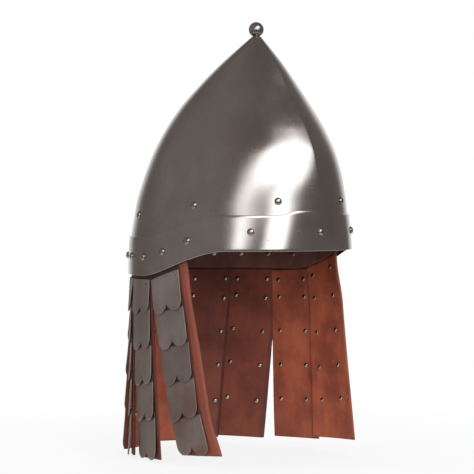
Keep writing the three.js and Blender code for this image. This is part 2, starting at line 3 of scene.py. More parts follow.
import bmesh
import bpy
import numpy as np
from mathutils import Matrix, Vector


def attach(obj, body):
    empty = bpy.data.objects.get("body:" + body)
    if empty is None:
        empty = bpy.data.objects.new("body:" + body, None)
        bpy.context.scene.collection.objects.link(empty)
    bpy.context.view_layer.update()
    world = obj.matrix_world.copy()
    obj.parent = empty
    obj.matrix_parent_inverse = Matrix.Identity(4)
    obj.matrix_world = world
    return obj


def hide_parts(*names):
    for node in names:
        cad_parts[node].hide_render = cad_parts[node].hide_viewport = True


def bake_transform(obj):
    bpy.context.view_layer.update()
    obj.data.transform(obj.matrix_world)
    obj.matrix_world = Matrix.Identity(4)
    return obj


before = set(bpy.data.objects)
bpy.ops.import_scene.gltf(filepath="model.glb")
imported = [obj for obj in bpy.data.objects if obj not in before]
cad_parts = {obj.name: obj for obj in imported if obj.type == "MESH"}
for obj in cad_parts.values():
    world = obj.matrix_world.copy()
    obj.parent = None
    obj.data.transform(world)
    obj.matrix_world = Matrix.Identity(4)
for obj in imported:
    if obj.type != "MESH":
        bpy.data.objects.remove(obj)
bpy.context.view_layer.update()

# Camera. A long lens stands off the wearer's right front, a little above the brow band, as for a
# catalogue picture. It looks slightly down, with no shift and no tilt to either side.
CAMERA_AZIMUTH = math.radians(39.94)
CAMERA_DISTANCE = 2.5443
CAMERA_HEIGHT = 0.0749
LENS_PIXELS = 2493.2
PICTURE_PIXELS = 474
HELMET_AXIS_PIXEL = 239.5
HORIZON_PIXEL = 174.8


def placed(name, data):
    """A new object of the scene."""
    thing = bpy.data.objects.new(name, data)
    bpy.context.collection.objects.link(thing)
    return thing


toward = Vector((math.sin(CAMERA_AZIMUTH), math.cos(CAMERA_AZIMUTH), 0))
sideways = Vector((toward.y, -toward.x, 0))
pan = math.atan((HELMET_AXIS_PIXEL - PICTURE_PIXELS / 2) / LENS_PIXELS)
dip = math.atan((PICTURE_PIXELS / 2 - HORIZON_PIXEL) / LENS_PIXELS)
look = (toward * math.cos(pan) - sideways * math.sin(pan)) * math.cos(dip) - Vector((0, 0, math.sin(dip)))
lens = bpy.data.cameras.new("picture_lens")
lens.sensor_width = 36
lens.lens = LENS_PIXELS * lens.sensor_width / PICTURE_PIXELS
lens.clip_end = 50
camera = placed("picture_camera", lens)
camera.location = -toward * CAMERA_DISTANCE + Vector((0, 0, CAMERA_HEIGHT))
camera.rotation_euler = look.to_track_quat("-Z", "Y").to_euler()
bpy.context.scene.camera = camera

# Skull. One bowl of polished steel sheet raised to a point that stands forward of the middle, with
# a ridge beaten up the front from nothing at the brow to sharp at the point.
SKULL_HEIGHT = 0.213
SKULL_HALF_LENGTH = 0.1234
SKULL_HALF_WIDTH = 0.1034
POINT_FORWARD = 0.0263
SKULL_SHEET = 0.0015
SKULL_SHEET_AT_POINT = 0.0023
SKULL_EDGE_ABOVE_RIM = 0.003
RIDGE_RISE = 0.24
RIDGE_SPREAD = 55  # degrees to each side
RIDGE_ROUNDING = 0.35
RIM_DIP = 0.0265
RIM_DIP_FROM, RIM_DIP_TO = 51, 104  # degrees from the front
level_shares = np.array([-0.169, 0, 0.211, 0.329, 0.451, 0.563, 0.665, 0.77, 0.864, 0.939, 1])
length_shares = np.array([1.01, 1, 0.932, 0.876, 0.791, 0.678, 0.551, 0.408, 0.277, 0.155, 0.048])
width_shares = np.array([1.007, 1, 0.973, 0.927, 0.86, 0.768, 0.65, 0.492, 0.326, 0.18, 0.056])
centre_shares = np.array([0, 0, 0.07, 0.175, 0.268, 0.325, 0.39, 0.53, 0.705, 0.862, 1])
ridge_shares = np.array([0, 0, 0.211, 0.33, 0.45, 0.563, 0.665, 0.77, 0.864, 0.94, 0.8])


def along_table(table, z):
    """Smooth curve through a table of shares over the skull's levels: cubic between neighbours,
    with the harmonic mean of the two slopes at each level, so that it never overshoots."""
    level = np.asarray(z, float) / SKULL_HEIGHT
    step = np.diff(level_shares)
    rise = np.diff(table) / step
    slope = np.concatenate([rise[:1], np.zeros(len(rise) - 1), rise[-1:]])
    both = rise[:-1] * rise[1:] > 0
    total = np.where(both, rise[:-1] + rise[1:], 1)
    slope[1:-1] = np.where(both, 2 * rise[:-1] * rise[1:] / total, 0)
    i = np.clip(np.searchsorted(level_shares, level) - 1, 0, len(step) - 1)
    t = np.clip((level - level_shares[i]) / step[i], 0, 1)
    return ((1 + 2 * t) * (1 - t) ** 2 * table[i] + t * (1 - t) ** 2 * step[i] * slope[i]
            + t * t * (3 - 2 * t) * table[i + 1] + t * t * (t - 1) * step[i] * slope[i + 1])


def degrees_from_front(angle):
    turn = np.mod(angle, 2 * np.pi)
    return np.degrees(np.minimum(turn, 2 * np.pi - turn))


def skull_point(angle, z, off):
    """Ellipse at each level about a centre that moves forward with height, pushed out towards the
    front by the square of the nearness to the ridge. off moves it outwards."""
    angle, z, off = np.broadcast_arrays(*(np.asarray(given, float) for given in (angle, z, off)))
    half = along_table(length_shares, z) * SKULL_HALF_LENGTH + off
    across = along_table(width_shares, z) * SKULL_HALF_WIDTH + off
    centre = -along_table(centre_shares, z) * POINT_FORWARD
    apart = np.sqrt(degrees_from_front(angle) ** 2 + RIDGE_ROUNDING ** 2) - RIDGE_ROUNDING
    near = np.maximum(1 - apart / RIDGE_SPREAD, 0)
    ridge = 1 + RIDGE_RISE * along_table(ridge_shares, z) * near ** 2
    return np.stack([across * np.sin(angle) * ridge, centre - half * np.cos(angle) * ridge, z], -1)


def unit(vectors):
    return vectors / np.linalg.norm(vectors, axis=-1, keepdims=True)


def skull_normal(angle, z):
    """Square to two short chords of the skull, one level and one upwards."""
    turn, step = np.radians(1), 0.001
    along = skull_point(angle + turn, z, 0) - skull_point(angle - turn, z, 0)
    up = skull_point(angle, z + step, 0) - skull_point(angle, z - step, 0)
    return unit(np.cross(along, up))


def eased(t):
    """Smooth step from 0 to 1: three squares less two cubes."""
    c = np.clip(t, 0, 1)
    return c * c * (3 - 2 * c)


def dip_share(angle):
    """From 0 over the face to 1 round the back, where the rim hangs lower."""
    return eased((degrees_from_front(angle) - RIM_DIP_FROM) / (RIM_DIP_TO - RIM_DIP_FROM))


def rim_height(angle):
    return -RIM_DIP * dip_share(angle)


def finished(name, mesh, material, body, sharp=None):
    """Welds what coincides, turns every face outwards by the sign of the enclosed volume, shades it
    smooth and puts the piece on the body that carries it."""
    weld, least_edge = 2e-6, 1e-7
    bm = bmesh.new()
    bm.from_mesh(mesh)
    bmesh.ops.remove_doubles(bm, verts=bm.verts, dist=weld)
    bmesh.ops.dissolve_degenerate(bm, edges=bm.edges, dist=least_edge)
    if bm.calc_volume(signed=True) < 0:
        bmesh.ops.reverse_faces(bm, faces=bm.faces)
    bm.to_mesh(mesh)
    bm.free()
    mesh.shade_smooth()
    if sharp:
        mesh.set_sharp_from_angle(angle=math.radians(sharp))
    piece = placed(name, mesh)
    mesh.materials.append(material)
    if body:
        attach(piece, body)
    return piece


def quads_of(rows, columns, around, closed, start):
    """Corner numbers of the four-sided faces of a grid of points."""
    index = np.arange(rows * columns).reshape(rows, columns) + start
    low = index if closed else index[:-1]
    high = np.roll(index, -1, 0) if closed else index[1:]
    if not around:
        return np.stack([low[:, :-1], low[:, 1:], high[:, 1:], high[:, :-1]], -1).reshape(-1, 4)
    return np.stack([low, np.roll(low, -1, 1), np.roll(high, -1, 1), high], -1).reshape(-1, 4)


def grid_mesh(name, grids, closed=False):
    """One mesh of several grids of points, each rows by columns and closed round its columns."""
    points, faces, start = [], [], 0
    for grid in grids:
        rows, columns = grid.shape[:2]
        faces.append(quads_of(rows, columns, True, closed, start))
        points.append(grid.reshape(-1, 3))
        start += rows * columns
    mesh = bpy.data.meshes.new(name)
    mesh.from_pydata(np.concatenate(points).tolist(), [], np.concatenate(faces).tolist())
    return mesh


def added(tree, kind, fed=None, **settings):
    """A new shader node with its settings made and its inputs set to values or linked to sockets."""
    node = tree.nodes.new("ShaderNode" + kind)
    for setting, value in settings.items():
        setattr(node, setting, value)
    for key, value in (fed or {}).items():
        if isinstance(value, bpy.types.NodeSocket):
            tree.links.new(value, node.inputs[key])
        else:
            node.inputs[key].default_value = value
    return node


def noise(vector, scale, detail, stretch=None):
    """Noise texture on a vector, which may first be stretched by a Mapping node."""
    tree = vector.id_data
    if stretch:
        vector = added(tree, "Mapping", {"Scale": stretch, "Vector": vector}).outputs["Vector"]
    return added(tree, "TexNoise", {"Scale": scale, "Detail": detail, "Vector": vector}).outputs["Fac"]


def ranged(value, low, high, to_low=0.0, to_high=1.0):
    """Smooth Map Range on a value; any limit may be a number or a socket."""
    limits = {"Value": value, "From Min": low, "From Max": high, "To Min": to_low, "To Max": to_high}
    return added(value.id_data, "MapRange", limits, interpolation_type="SMOOTHSTEP").outputs["Result"]


def mixed(amount, first, second):
    """Colour mix by a socket; the colours may be values or sockets."""
    return added(amount.id_data, "Mix", {0: amount, 6: first, 7: second}, data_type="RGBA").outputs[2]


def combined(operation, first, second=0.0):
    """Arithmetic on two values, of which at least one is a socket."""
    tree = (second if isinstance(first, float) else first).id_data
    return added(tree, "Math", {0: first, 1: second}, operation=operation).outputs[0]


def times(first, second):
    return combined("MULTIPLY", first, second)


def linear(red, green, blue):
    """Colour as it is seen, 0 to 255, into the shader's linear values."""
    seen = np.array([red, green, blue]) / 255
    return tuple(np.where(seen <= 0.04045, seen / 12.92, ((seen + 0.055) / 1.055) ** 2.4).tolist()) + (1.0,)


def new_group(name, colours, numbers):
    """An empty shader group. A vector, the named colours and the named numbers go in; a colour, a
    roughness and a height come out. Returns the group, what goes in and what comes out."""
    group = bpy.data.node_groups.new(name, "ShaderNodeTree")
    going_in = {"vector": "Vector", **dict.fromkeys(colours, "Color"), **dict.fromkeys(numbers, "Float")}
    coming_out = {"color": "Color", "roughness": "Float", "height": "Float"}
    for way, sockets in (("INPUT", going_in), ("OUTPUT", coming_out)):
        for label, kind in sockets.items():
            group.interface.new_socket(name=label, in_out=way, socket_type="NodeSocket" + kind)
    return group, group.nodes.new("NodeGroupInput").outputs, group.nodes.new("NodeGroupOutput").inputs


def finish_material(name, group, relief, strength, **given):
    """A Principled material whose colour, roughness and relief come from a group on Object
    coordinates. Returns the material, its tree, the placed group and the shader."""
    material = bpy.data.materials.new(name)
    material.use_nodes = True
    tree = material.node_tree
    shader = tree.nodes["Principled BSDF"]
    given["vector"] = added(tree, "TexCoord").outputs["Object"]
    finish = added(tree, "Group", given, node_tree=group)
    bump = added(tree, "Bump", {"Strength": strength, "Distance": relief, "Height": finish.outputs["height"]})
    tree.links.new(finish.outputs["color"], shader.inputs["Base Color"])
    tree.links.new(finish.outputs["roughness"], shader.inputs["Roughness"])
    tree.links.new(bump.outputs["Normal"], shader.inputs["Normal"])
    return material, tree, finish, shader


# Worn steel: cloudy grey with brown tints, fine polishing lines and a few darker specks.
worn_steel, given, made = new_group("worn_steel", ["steel", "cloud", "tint"],
                                    ["tint_amount", "smoothest", "dullest"])
tree, spot = worn_steel, given["vector"]
clouds = ranged(noise(spot, 22, 6), 0.35, 0.68)
tints = ranged(noise(spot, 14, 5, (1, 1, 0.45)), 0.48, 0.72)
lines = noise(spot, 150, 5, (1, 1, 0.06))
fine_lines = noise(spot, 620, 3, (1, 1, 0.04))
specks = ranged(noise(spot, 420, 3), 0.66, 0.76)
plain = mixed(clouds, given["steel"], given["cloud"])
tinted = mixed(times(tints, given["tint_amount"]), plain, given["tint"])
lined = mixed(ranged(lines, 0.4, 0.62, 0.0, 0.22), tinted, given["cloud"])
specked = mixed(times(specks, 0.45), lined, linear(52, 42, 36))
patches = ranged(noise(spot, 34, 5, (1, 1, 0.22)), 0.3, 0.7, given["smoothest"], given["dullest"])
hammered = noise(spot, 22, 1, (1, 1, 0.6))
brushed = combined("ADD", hammered, times(lines, 0.05))
tree.links.new(specked, made["color"])
tree.links.new(combined("ADD", patches, times(specks, 0.18)), made["roughness"])
tree.links.new(combined("ADD", brushed, times(fine_lines, 0.02)), made["height"])


def steel_material(name, relief, metallic=1.0, **given):
    """Steel from the worn steel group: material, tree, placed group and shader."""
    material, tree, wear, shader = finish_material(name, worn_steel, relief, 1.0, **given)
    shader.inputs["Metallic"].default_value = metallic
    return material, tree, wear, shader


skull_steel = steel_material(
    "skull_steel", relief=0.0004, steel=linear(170, 169, 168), cloud=linear(158, 156, 154),
    tint=linear(164, 148, 134), tint_amount=0.5, smoothest=0.15, dullest=0.23)[0]

# The skull's columns crowd together beside the ridge so that it stays sharp.
close = np.array([0, 0.2, 0.45, 0.8, 1.2, 1.7, 2.3, 3.0, 4.0])
right_half = np.radians(np.concatenate([close, np.arange(5.2, 179, 1.3), [180]]))
skull_angles = np.concatenate([right_half, 2 * np.pi - right_half[-2:0:-1]])
edge = rim_height(skull_angles) + SKULL_EDGE_ABOVE_RIM
levels = edge + (SKULL_HEIGHT - edge) * np.linspace(0, 1, 90)[:, None] ** 0.9
sheet = SKULL_SHEET + (SKULL_SHEET_AT_POINT - SKULL_SHEET) * eased(levels / SKULL_HEIGHT)
outside = skull_point(skull_angles, levels, 0)
inside = skull_point(skull_angles, levels[::-3], -sheet[::-3])
skull_mesh = grid_mesh("skull_sheet", [np.concatenate([outside, inside])], closed=True)
skull_piece = finished("skull_bowl", skull_mesh, skull_steel, "helmet", 40)
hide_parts("skull")

# Rivets of the skull. Eight domed steel rivets above the brow band hold the liner; each has a small
# round tail hammered flat inside the leather.
RIVET_HEAD, RIVET_DOME = 0.0037, 0.0025
RIVET_SHANK = 0.0015
RIVET_TAIL, TAIL_FLAT = 0.0031, 0.0024
TAIL_HEIGHT, TAIL_BEVEL = 0.0013, 0.0008
TAIL_GAP = 0.0003
YOKE_FACE, YOKE_LEATHER = -0.00185, 0.003
LINER_FACE, LINER_LEATHER = -0.002, 0.0024
LINER_RIVET_LEVEL = 0.049
LINER_DIP_SHARE = 0.55


def turned(profile, sides):
    """A profile of radius and height turned about its axis, as rows by columns of points."""
    turn = np.linspace(0, 2 * np.pi, sides, endpoint=False)
    radius, high = np.array(profile, float).T[:, :, None]
    return np.stack([radius * np.cos(turn), radius * np.sin(turn), high + 0 * turn], -1)


def set_on(grid, place, along):
    """Stands a turned form on a place with its axis along a direction."""
    along = unit(np.asarray(along, float))
    helper = np.array([0.0, 0.0, 1.0]) if abs(along[2]) < 0.9 else np.array([1.0, 0.0, 0.0])
    first = unit(np.cross(helper, along))
    second = np.cross(along, first)
    return place + grid[..., :1] * first + grid[..., 1:2] * second + grid[..., 2:] * along


def dome(radius, high, steps, foot=0.0003):
    """Quarter of an ellipse from a short, slightly narrower upright foot to the crown."""
    a = np.linspace(0, np.pi / 2, steps)
    curve = [(radius * np.cos(t), foot + (high - foot) * np.sin(t)) for t in a[:-1]]
    return [(radius * 0.97, 0.0)] + curve + [(0, high)]


def domed_rivet(angle, z, seat, grip):
    """Head, shank and tail of a rivet through the sheet and the leather behind it."""
    tail = -grip
    profile = [(0, tail - TAIL_HEIGHT), (TAIL_FLAT, tail - TAIL_HEIGHT), (RIVET_TAIL, tail - TAIL_BEVEL),
               (RIVET_TAIL, tail), (RIVET_SHANK, tail), (RIVET_SHANK, 0.0), *dome(RIVET_HEAD, RIVET_DOME, 8)]
    place = skull_point(angle, z, 0) + skull_normal(angle, z) * seat
    return set_on(turned(profile, 24), place, skull_normal(angle, z))


def liner_level(angle):
    return LINER_RIVET_LEVEL + LINER_DIP_SHARE * rim_height(angle)


rivet_steel = steel_material(
    "rivet_steel", relief=0.0002, steel=linear(176, 170, 164), cloud=linear(140, 132, 126),
    tint=linear(150, 126, 106), tint_amount=0.4, smoothest=0.14, dullest=0.26)[0]
liner_rivet_angles = np.radians([24, 69.5, 115, 160.5, 199.5, 245, 290.5, 336])
liner_grip = -LINER_FACE + LINER_LEATHER + TAIL_GAP
rivets = [domed_rivet(a, liner_level(a), 0.0, liner_grip) for a in liner_rivet_angles]
skull_rivets = finished("liner_rivets", grid_mesh("liner_rivets", rivets), rivet_steel, "helmet", 50)

# Brow band. A strip of polished steel sheet bent round the rim over the skull, stepped up a little
# where it crosses the ridge, with its edges rounded off and held by eighteen domed rivets.
BAND_GAP, BAND_SHEET = 0.00035, 0.0015
BAND_HEIGHT, BAND_BACK_RISE, BAND_FRONT_RISE = 0.0353, 0.0035, 0.0044
FRONT_RISE_HALF, FRONT_RISE_FADE = 14, 10  # degrees
BAND_ROUNDING = 0.0005
BAND_RIVET_LEVEL = 0.019
YOKE_RIVETS_FROM, YOKE_RIVETS_A_SIDE = 72, 7
FRONT_TAIL_GAP = 0.0008


def band_top(angle):
    step = 1 - eased((degrees_from_front(angle) - FRONT_RISE_HALF) / FRONT_RISE_FADE)
    return rim_height(angle) + BAND_HEIGHT + BAND_BACK_RISE * dip_share(angle) + BAND_FRONT_RISE * step


band_steel = steel_material(
    "band_steel", relief=0.00025, steel=linear(176, 175, 173), cloud=linear(162, 160, 157),
    tint=linear(166, 150, 136), tint_amount=0.5, smoothest=0.12, dullest=0.19)[0]
# The strip's outline, row by row: up the outer face, round the top edge, down the inner face and
# round the lower edge.
band_out = BAND_GAP + BAND_SHEET
low, high = rim_height(skull_angles) + BAND_ROUNDING, band_top(skull_angles) - BAND_ROUNDING
shares = np.linspace(0, 1, 16)[:, None]
bend = np.radians([[30], [60], [90]])
risen, drawn_in = BAND_ROUNDING * np.sin(bend), BAND_ROUNDING * (1 - np.cos(bend))
rows = np.concatenate([low + (high - low) * shares, high + risen, low + (high - low) * shares[::-2],
                       low - risen[::-1]])
offs = np.concatenate([band_out + 0 * shares, band_out - drawn_in, BAND_GAP + 0 * shares[::-2],
                       band_out - drawn_in[::-1]])
band_mesh = grid_mesh("brow_band_sheet", [skull_point(skull_angles, rows, offs)], closed=True)
band_piece = finished("brow_band_sheet", band_mesh, band_steel, "helmet", 55)
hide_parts("brow_band")

left_half = np.linspace(YOKE_RIVETS_FROM, 180, YOKE_RIVETS_A_SIDE + 1)
back_rivets, front_rivets = [*left_half, *(360 - left_half[:-1])], [0, 39, 321]
back_grip = band_out - YOKE_FACE + YOKE_LEATHER + TAIL_GAP
front_grip = band_out + SKULL_SHEET + FRONT_TAIL_GAP
rivets = [domed_rivet(a, rim_height(a) + BAND_RIVET_LEVEL, band_out, grip)
          for turns, grip in ((back_rivets, back_grip), (front_rivets, front_grip))
          for a in np.radians(turns)]
band_rivets = finished("band_rivets", grid_mesh("band_rivets", rivets), rivet_steel, "helmet", 50)

# Finial. A steel ball turned on a short neck and collar; its stem goes down through the point and
# is riveted over a washer inside.
BALL, BALL_CENTRE = 0.0076, 0.2216
NECK = 0.0032
# Radius and height of the washer, the stem, the collar and the foot of the neck.
stem = [(0, 0.2069), (0.0050, 0.2069), (0.0054, 0.2073), (0.0054, 0.2080), (0.0050, 0.2084), (0.0022, 0.2084),
        (0.0022, 0.21335), (0.0050, 0.21335), (0.0054, 0.2136), (0.0054, 0.21395), (0.0051, 0.2142),
        (0.0036, 0.21445)]
bulge = np.linspace(math.asin(NECK / BALL), np.pi, 28)[:-1]
stem += [(BALL * math.sin(t), BALL_CENTRE - BALL * math.cos(t)) for t in bulge] + [(0, BALL_CENTRE + BALL)]
finial_grid = set_on(turned(stem, 48), np.array([0, -POINT_FORWARD, 0.0]), (0, 0, 1))
finial_piece = finished("ball_finial", grid_mesh("ball_finial", [finial_grid]), skull_steel, "helmet", 45)
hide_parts("finial")

# Yoke. A belt of thick vegetable-tanned leather riveted inside the brow band from temple to temple
# round the back; the straps of the neck guard hang from its lower edge.
YOKE_HEIGHT = 0.033
YOKE_ABOVE_RIM = 0.0022
YOKE_FROM = 63  # degrees from the front
YOKE_RUN, YOKE_ROUNDING = 0.5, 0.0006
YOKE_MIDDLE = YOKE_FACE - YOKE_LEATHER / 2

# Worn leather: blotched and streaked, scuffed lighter, rubbed along a ragged line at its border,
# with pores and wrinkles.
worn_leather, given, made = new_group("worn_leather", ["leather", "shade", "worn"],
                                      ["border", "border_width", "rubbing"])
tree, spot = worn_leather, given["vector"]
blotches = ranged(noise(spot, 28, 6), 0.36, 0.66)
streaks = ranged(noise(spot, 60, 6, (1, 1, 0.22)), 0.4, 0.66)
scuffs = ranged(noise(spot, 95, 8), 0.55, 0.72)
ragged = combined("SUBTRACT", times(noise(spot, 240, 4), 0.0022), 0.0011)
rim_line = combined("ADD", given["border"], ragged)
rubbed = ranged(rim_line, 0.0, given["border_width"], 1.0, 0.0)
hide = mixed(times(blotches, 0.7), given["leather"], given["shade"])
hide = mixed(times(streaks, 0.3), hide, given["shade"])
hide = mixed(times(scuffs, 0.3), hide, given["worn"])
hide = mixed(times(rubbed, given["rubbing"]), hide, given["worn"])
pores = added(tree, "TexVoronoi", {"Scale": 900, "Vector": spot}, feature="DISTANCE_TO_EDGE")
grain = combined("MINIMUM", pores.outputs["Distance"], 0.25)
wrinkles = noise(spot, 160, 5, (1, 1, 0.5))
tree.links.new(hide, made["color"])
tree.links.new(ranged(noise(spot, 70, 6), 0.3, 0.7, 0.52, 0.78), made["roughness"])
tree.links.new(combined("ADD", times(grain, 1.2), wrinkles), made["height"])


def rest_of(share):
    return combined("SUBTRACT", 1.0, share)


def attribute(tree, name):
    return added(tree, "Attribute", attribute_name=name).outputs["Fac"]


def leather_material(name, border_width, leather, shade, worn):
    """Leather from the worn leather group. The piece's own attributes give the distance to its cut
    edge, rubbed lighter outside; inside, a dark cut edge with painted shade where straps lap; its
    tone, on some straps painted shade; and painted shade with some grime on the outer face among
    the plates, darkest under its top edge."""
    material, tree, hide, shader = finish_material(
        name, worn_leather, relief=0.0006, strength=0.55, leather=leather, shade=shade, worn=worn,
        border_width=border_width)
    border, outside, from_top = (attribute(tree, title) for title in ("border", "outside", "from_top"))
    tree.links.new(border, hide.inputs["border"])
    tree.links.new(times(outside, 0.45), hide.inputs["rubbing"])
    weathered_and_shaded = mixed(times(outside, 0.75), hide.outputs["color"], shade)
    # Inside, near the cut edge: the leather's own dark edge and painted shade where one strap laps behind the
    # next.
    dark_edge_and_shade = times(ranged(border, 0.0, 0.0016, 0.6, 0.0), rest_of(outside))
    weathered_and_shaded = mixed(dark_edge_and_shade, weathered_and_shaded, linear(74, 40, 32))
    # The piece's tone darkens it: on the far straps partly their own tone, partly painted shade where they
    # lie in shadow.
    weathered_and_shaded = mixed(attribute(tree, "tone"), weathered_and_shaded, linear(78, 44, 40))
    # Outside, among the plates and under the top edge: painted shade with some grime, darkest just below the
    # top edge.
    under_top = times(outside, attribute(tree, "sheltered"))
    grime_and_shade = times(ranged(from_top, 0.0055, 0.015, 0.85, 0.5), under_top)
    tree.links.new(mixed(grime_and_shade, weathered_and_shaded, linear(50, 38, 36)), shader.inputs["Base Color"])
    shader.inputs["Specular IOR Level"].default_value = 0.35
    return material


def store(mesh, name, values):
    """Keeps one number for each point of a mesh as an attribute that its material reads."""
    mesh.attributes.new(name, "FLOAT", "POINT").data.foreach_set("value", np.asarray(values, np.float32))


def sheet_mesh(name, place, columns, rows, thick, rounding, width, height):
    """A closed sheet: two faces of one two-parameter surface, set in at the border by the rounding and
    joined by a wall of two rings. place maps across (-1 to 1), down (0 to 1) and offset to points. The
    attributes keep the distance to the border and from the top, and outside is 1 on the outer face."""
    s, v = np.meshgrid(columns, rows)
    in_s, in_v = rounding / (width / 2), rounding / height
    inner_s, inner_v = s * (1 - in_s), in_v + v * (1 - 2 * in_v)
    count, wide, tall = s.size, len(columns), len(rows)
    index = np.arange(count).reshape(tall, wide)
    around = np.concatenate([index[0], index[1:, -1], index[-1, -2::-1], index[-2:0:-1, 0]])
    faces = quads_of(tall, wide, False, False, 0)
    front = place(inner_s, inner_v, thick / 2).reshape(-1, 3)
    back = place(inner_s, inner_v, -thick / 2).reshape(-1, 3)
    ring_front = place(s, v, thick / 2 - rounding).reshape(-1, 3)[around]
    ring_back = place(s, v, -thick / 2 + rounding).reshape(-1, 3)[around]
    points = np.concatenate([front, back, ring_front, ring_back])
    ring = 2 * count + np.arange(len(around))
    rings = [around, ring, ring + len(around), count + around]
    walls = [np.stack([a, b, np.roll(b, -1), np.roll(a, -1)], -1) for a, b in zip(rings[:-1], rings[1:])]
    mesh = bpy.data.meshes.new(name)
    mesh.from_pydata(points.tolist(), [], np.concatenate([faces, faces[:, ::-1] + count] + walls).tolist())
    gap = np.minimum((1 - np.abs(inner_s)) * width / 2, np.minimum(inner_v, 1 - inner_v) * height)
    lower = (v * height).ravel()
    store(mesh, "border", np.concatenate([gap.ravel(), gap.ravel(), np.zeros(2 * len(around))]))
    store(mesh, "outside", np.repeat([1, 0, 1, 0], [count, count, len(around), len(around)]))
    store(mesh, "from_top", np.concatenate([lower, lower, lower[around], lower[around]]))
    return mesh


def yoke_place(s, v, n):
    """The belt follows the skull at a fixed depth between its lower edge and its upper edge."""
    angle = np.pi + s * np.radians(180 - YOKE_FROM)
    z = rim_height(angle) + YOKE_ABOVE_RIM + (YOKE_HEIGHT - YOKE_ABOVE_RIM) * (1 - v)
    return skull_point(angle, z, YOKE_MIDDLE + n)


# The yoke's leather is darker and duller than the straps': partly a leather of its own, partly painted shade
# under the brow band.
yoke_leather = leather_material("yoke_leather", 0.002, linear(132, 90, 80), linear(98, 64, 58),
                                linear(150, 98, 80))
yoke_mesh = sheet_mesh("yoke_belt", yoke_place, np.linspace(-1, 1, 180), np.linspace(0, 1, 14),
                       YOKE_LEATHER, YOKE_ROUNDING, YOKE_RUN, YOKE_HEIGHT)
yoke_piece = finished("yoke_belt", yoke_mesh, yoke_leather, "helmet", 60)
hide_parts("yoke")

# Liner. A band of softer brown leather riveted inside the skull, with eight tongues sewn into its
# upper edge that bend in over the head; each tongue is turned over at its tip to hold the lace.
LINER_FROM, LINER_TO = -0.012, 0.013  # from the level of its rivets
LINER_BEVEL = 0.0003
LEATHER_ROUNDING = 0.0004
TONGUE_FOOT = 0.007
TONGUE_HALF_ANGLE = np.radians(15)
TONGUE_RISE, TONGUE_LEAN_IN, TONGUE_REACH = 0.052, 0.004, 0.034
TONGUE_LEATHER = 0.0021
TONGUE_LEAN_OVER = 0.013
TONGUE_SIZE = 0.03, 0.12
HALF_HEM = 0.0045
HEM_FROM = 0.84
HEM_WRAP = np.radians(300)
HEM_BEND = 0.0036
CROWN_RING, CROWN_FORWARD, CROWN_HEIGHT = 0.031, 0.008, 0.122

liner_leather = leather_material("liner_leather", 0.0025, linear(122, 80, 54), linear(86, 54, 38),
                                 linear(150, 104, 70))
liner_angles = np.radians(np.arange(0, 360, 2.0))
shares = np.linspace(0, 1, 8)[:, None]
liner_rows = np.concatenate([LINER_FROM + (LINER_TO - LINER_FROM) * shares, LINER_FROM + LINER_BEVEL
                             + (LINER_TO - LINER_FROM - 2 * LINER_BEVEL) * shares[::-1]])
liner_offs = np.repeat([[LINER_FACE], [LINER_FACE - LINER_LEATHER]], len(shares), 0)
liner_band = skull_point(liner_angles, liner_level(liner_angles) + liner_rows, liner_offs)
liner_mesh = grid_mesh("liner_band", [liner_band], closed=True)
to_edge = (LINER_TO - LINER_FROM) / 2 - LINER_BEVEL - np.abs(liner_rows - (LINER_FROM + LINER_TO) / 2)
store(liner_mesh, "border", np.repeat(to_edge, len(liner_angles)))
liner_piece = finished("liner_band", liner_mesh, liner_leather, "helmet", 50)
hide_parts("liner")


def tongue_place_at(angle):
    """Across, feet along the liner band; along, a cubic curve that rises with the skull, turns in level
    to the lace and then wraps round it."""
    base = liner_level(angle) + TONGUE_FOOT
    middle = LINER_FACE - LINER_LEATHER / 2
    foot_mid = skull_point(angle, base, middle)
    facing = math.atan2(foot_mid[0], -foot_mid[1] - CROWN_FORWARD)
    outward = np.array([math.sin(facing), -math.cos(facing), 0.0])
    along = np.array([math.cos(facing), math.sin(facing), 0.0])
    upward = np.array([0, 0, 1.0])
    lace = np.array([0, -CROWN_FORWARD, CROWN_HEIGHT]) + outward * CROWN_RING
    left, right = (skull_point(angle + s * TONGUE_HALF_ANGLE, base, middle) for s in (1, -1))
    across = unit(left - right)

    def place(s, v, n):
        s, v = np.broadcast_arrays(s, v)
        turn = angle + s * TONGUE_HALF_ANGLE
        foot = skull_point(turn, base, middle)
        lean = unit(skull_point(turn, base + TONGUE_LEAN_OVER, middle) - foot)
        centre = lace + along * (s * HALF_HEM)[..., None]
        top = centre + upward * HEM_BEND
        rise = foot + lean * TONGUE_RISE - outward * TONGUE_LEAN_IN
        reach = top + outward * TONGUE_REACH

        def curve(t):
            t = t[..., None]
            r = 1 - t
            return r ** 3 * foot + 3 * r ** 2 * t * rise + 3 * r * t * t * reach + t ** 3 * top

        share = np.clip(v / HEM_FROM, 0, 1)
        ahead = unit(curve(np.clip(share + 0.01, 0, 1.01)) - curve(share - 0.01))
        normal = unit(np.cross(across, ahead))
        inwards = np.sum(normal * outward, -1, keepdims=True) + normal[..., 2:] < 0
        normal = np.where(inwards, -normal, normal)
        wrap = (np.clip((v - HEM_FROM) / (1 - HEM_FROM), 0, 1) * HEM_WRAP)[..., None]
        radial = upward * np.cos(wrap) - outward * np.sin(wrap)
        in_hem = (v > HEM_FROM)[..., None]
        return np.where(in_hem, centre + radial * HEM_BEND + radial * n, curve(share) + normal * n)
    return place


for number, angle in enumerate(liner_rivet_angles):
    tongue_mesh = sheet_mesh("tongue", tongue_place_at(angle), np.linspace(-1, 1, 13),
                             np.linspace(0, 1, 64), TONGUE_LEATHER, LEATHER_ROUNDING, *TONGUE_SIZE)
    tongue = finished(f"liner_tongue_{number + 1}", tongue_mesh, liner_leather, "helmet", 60)

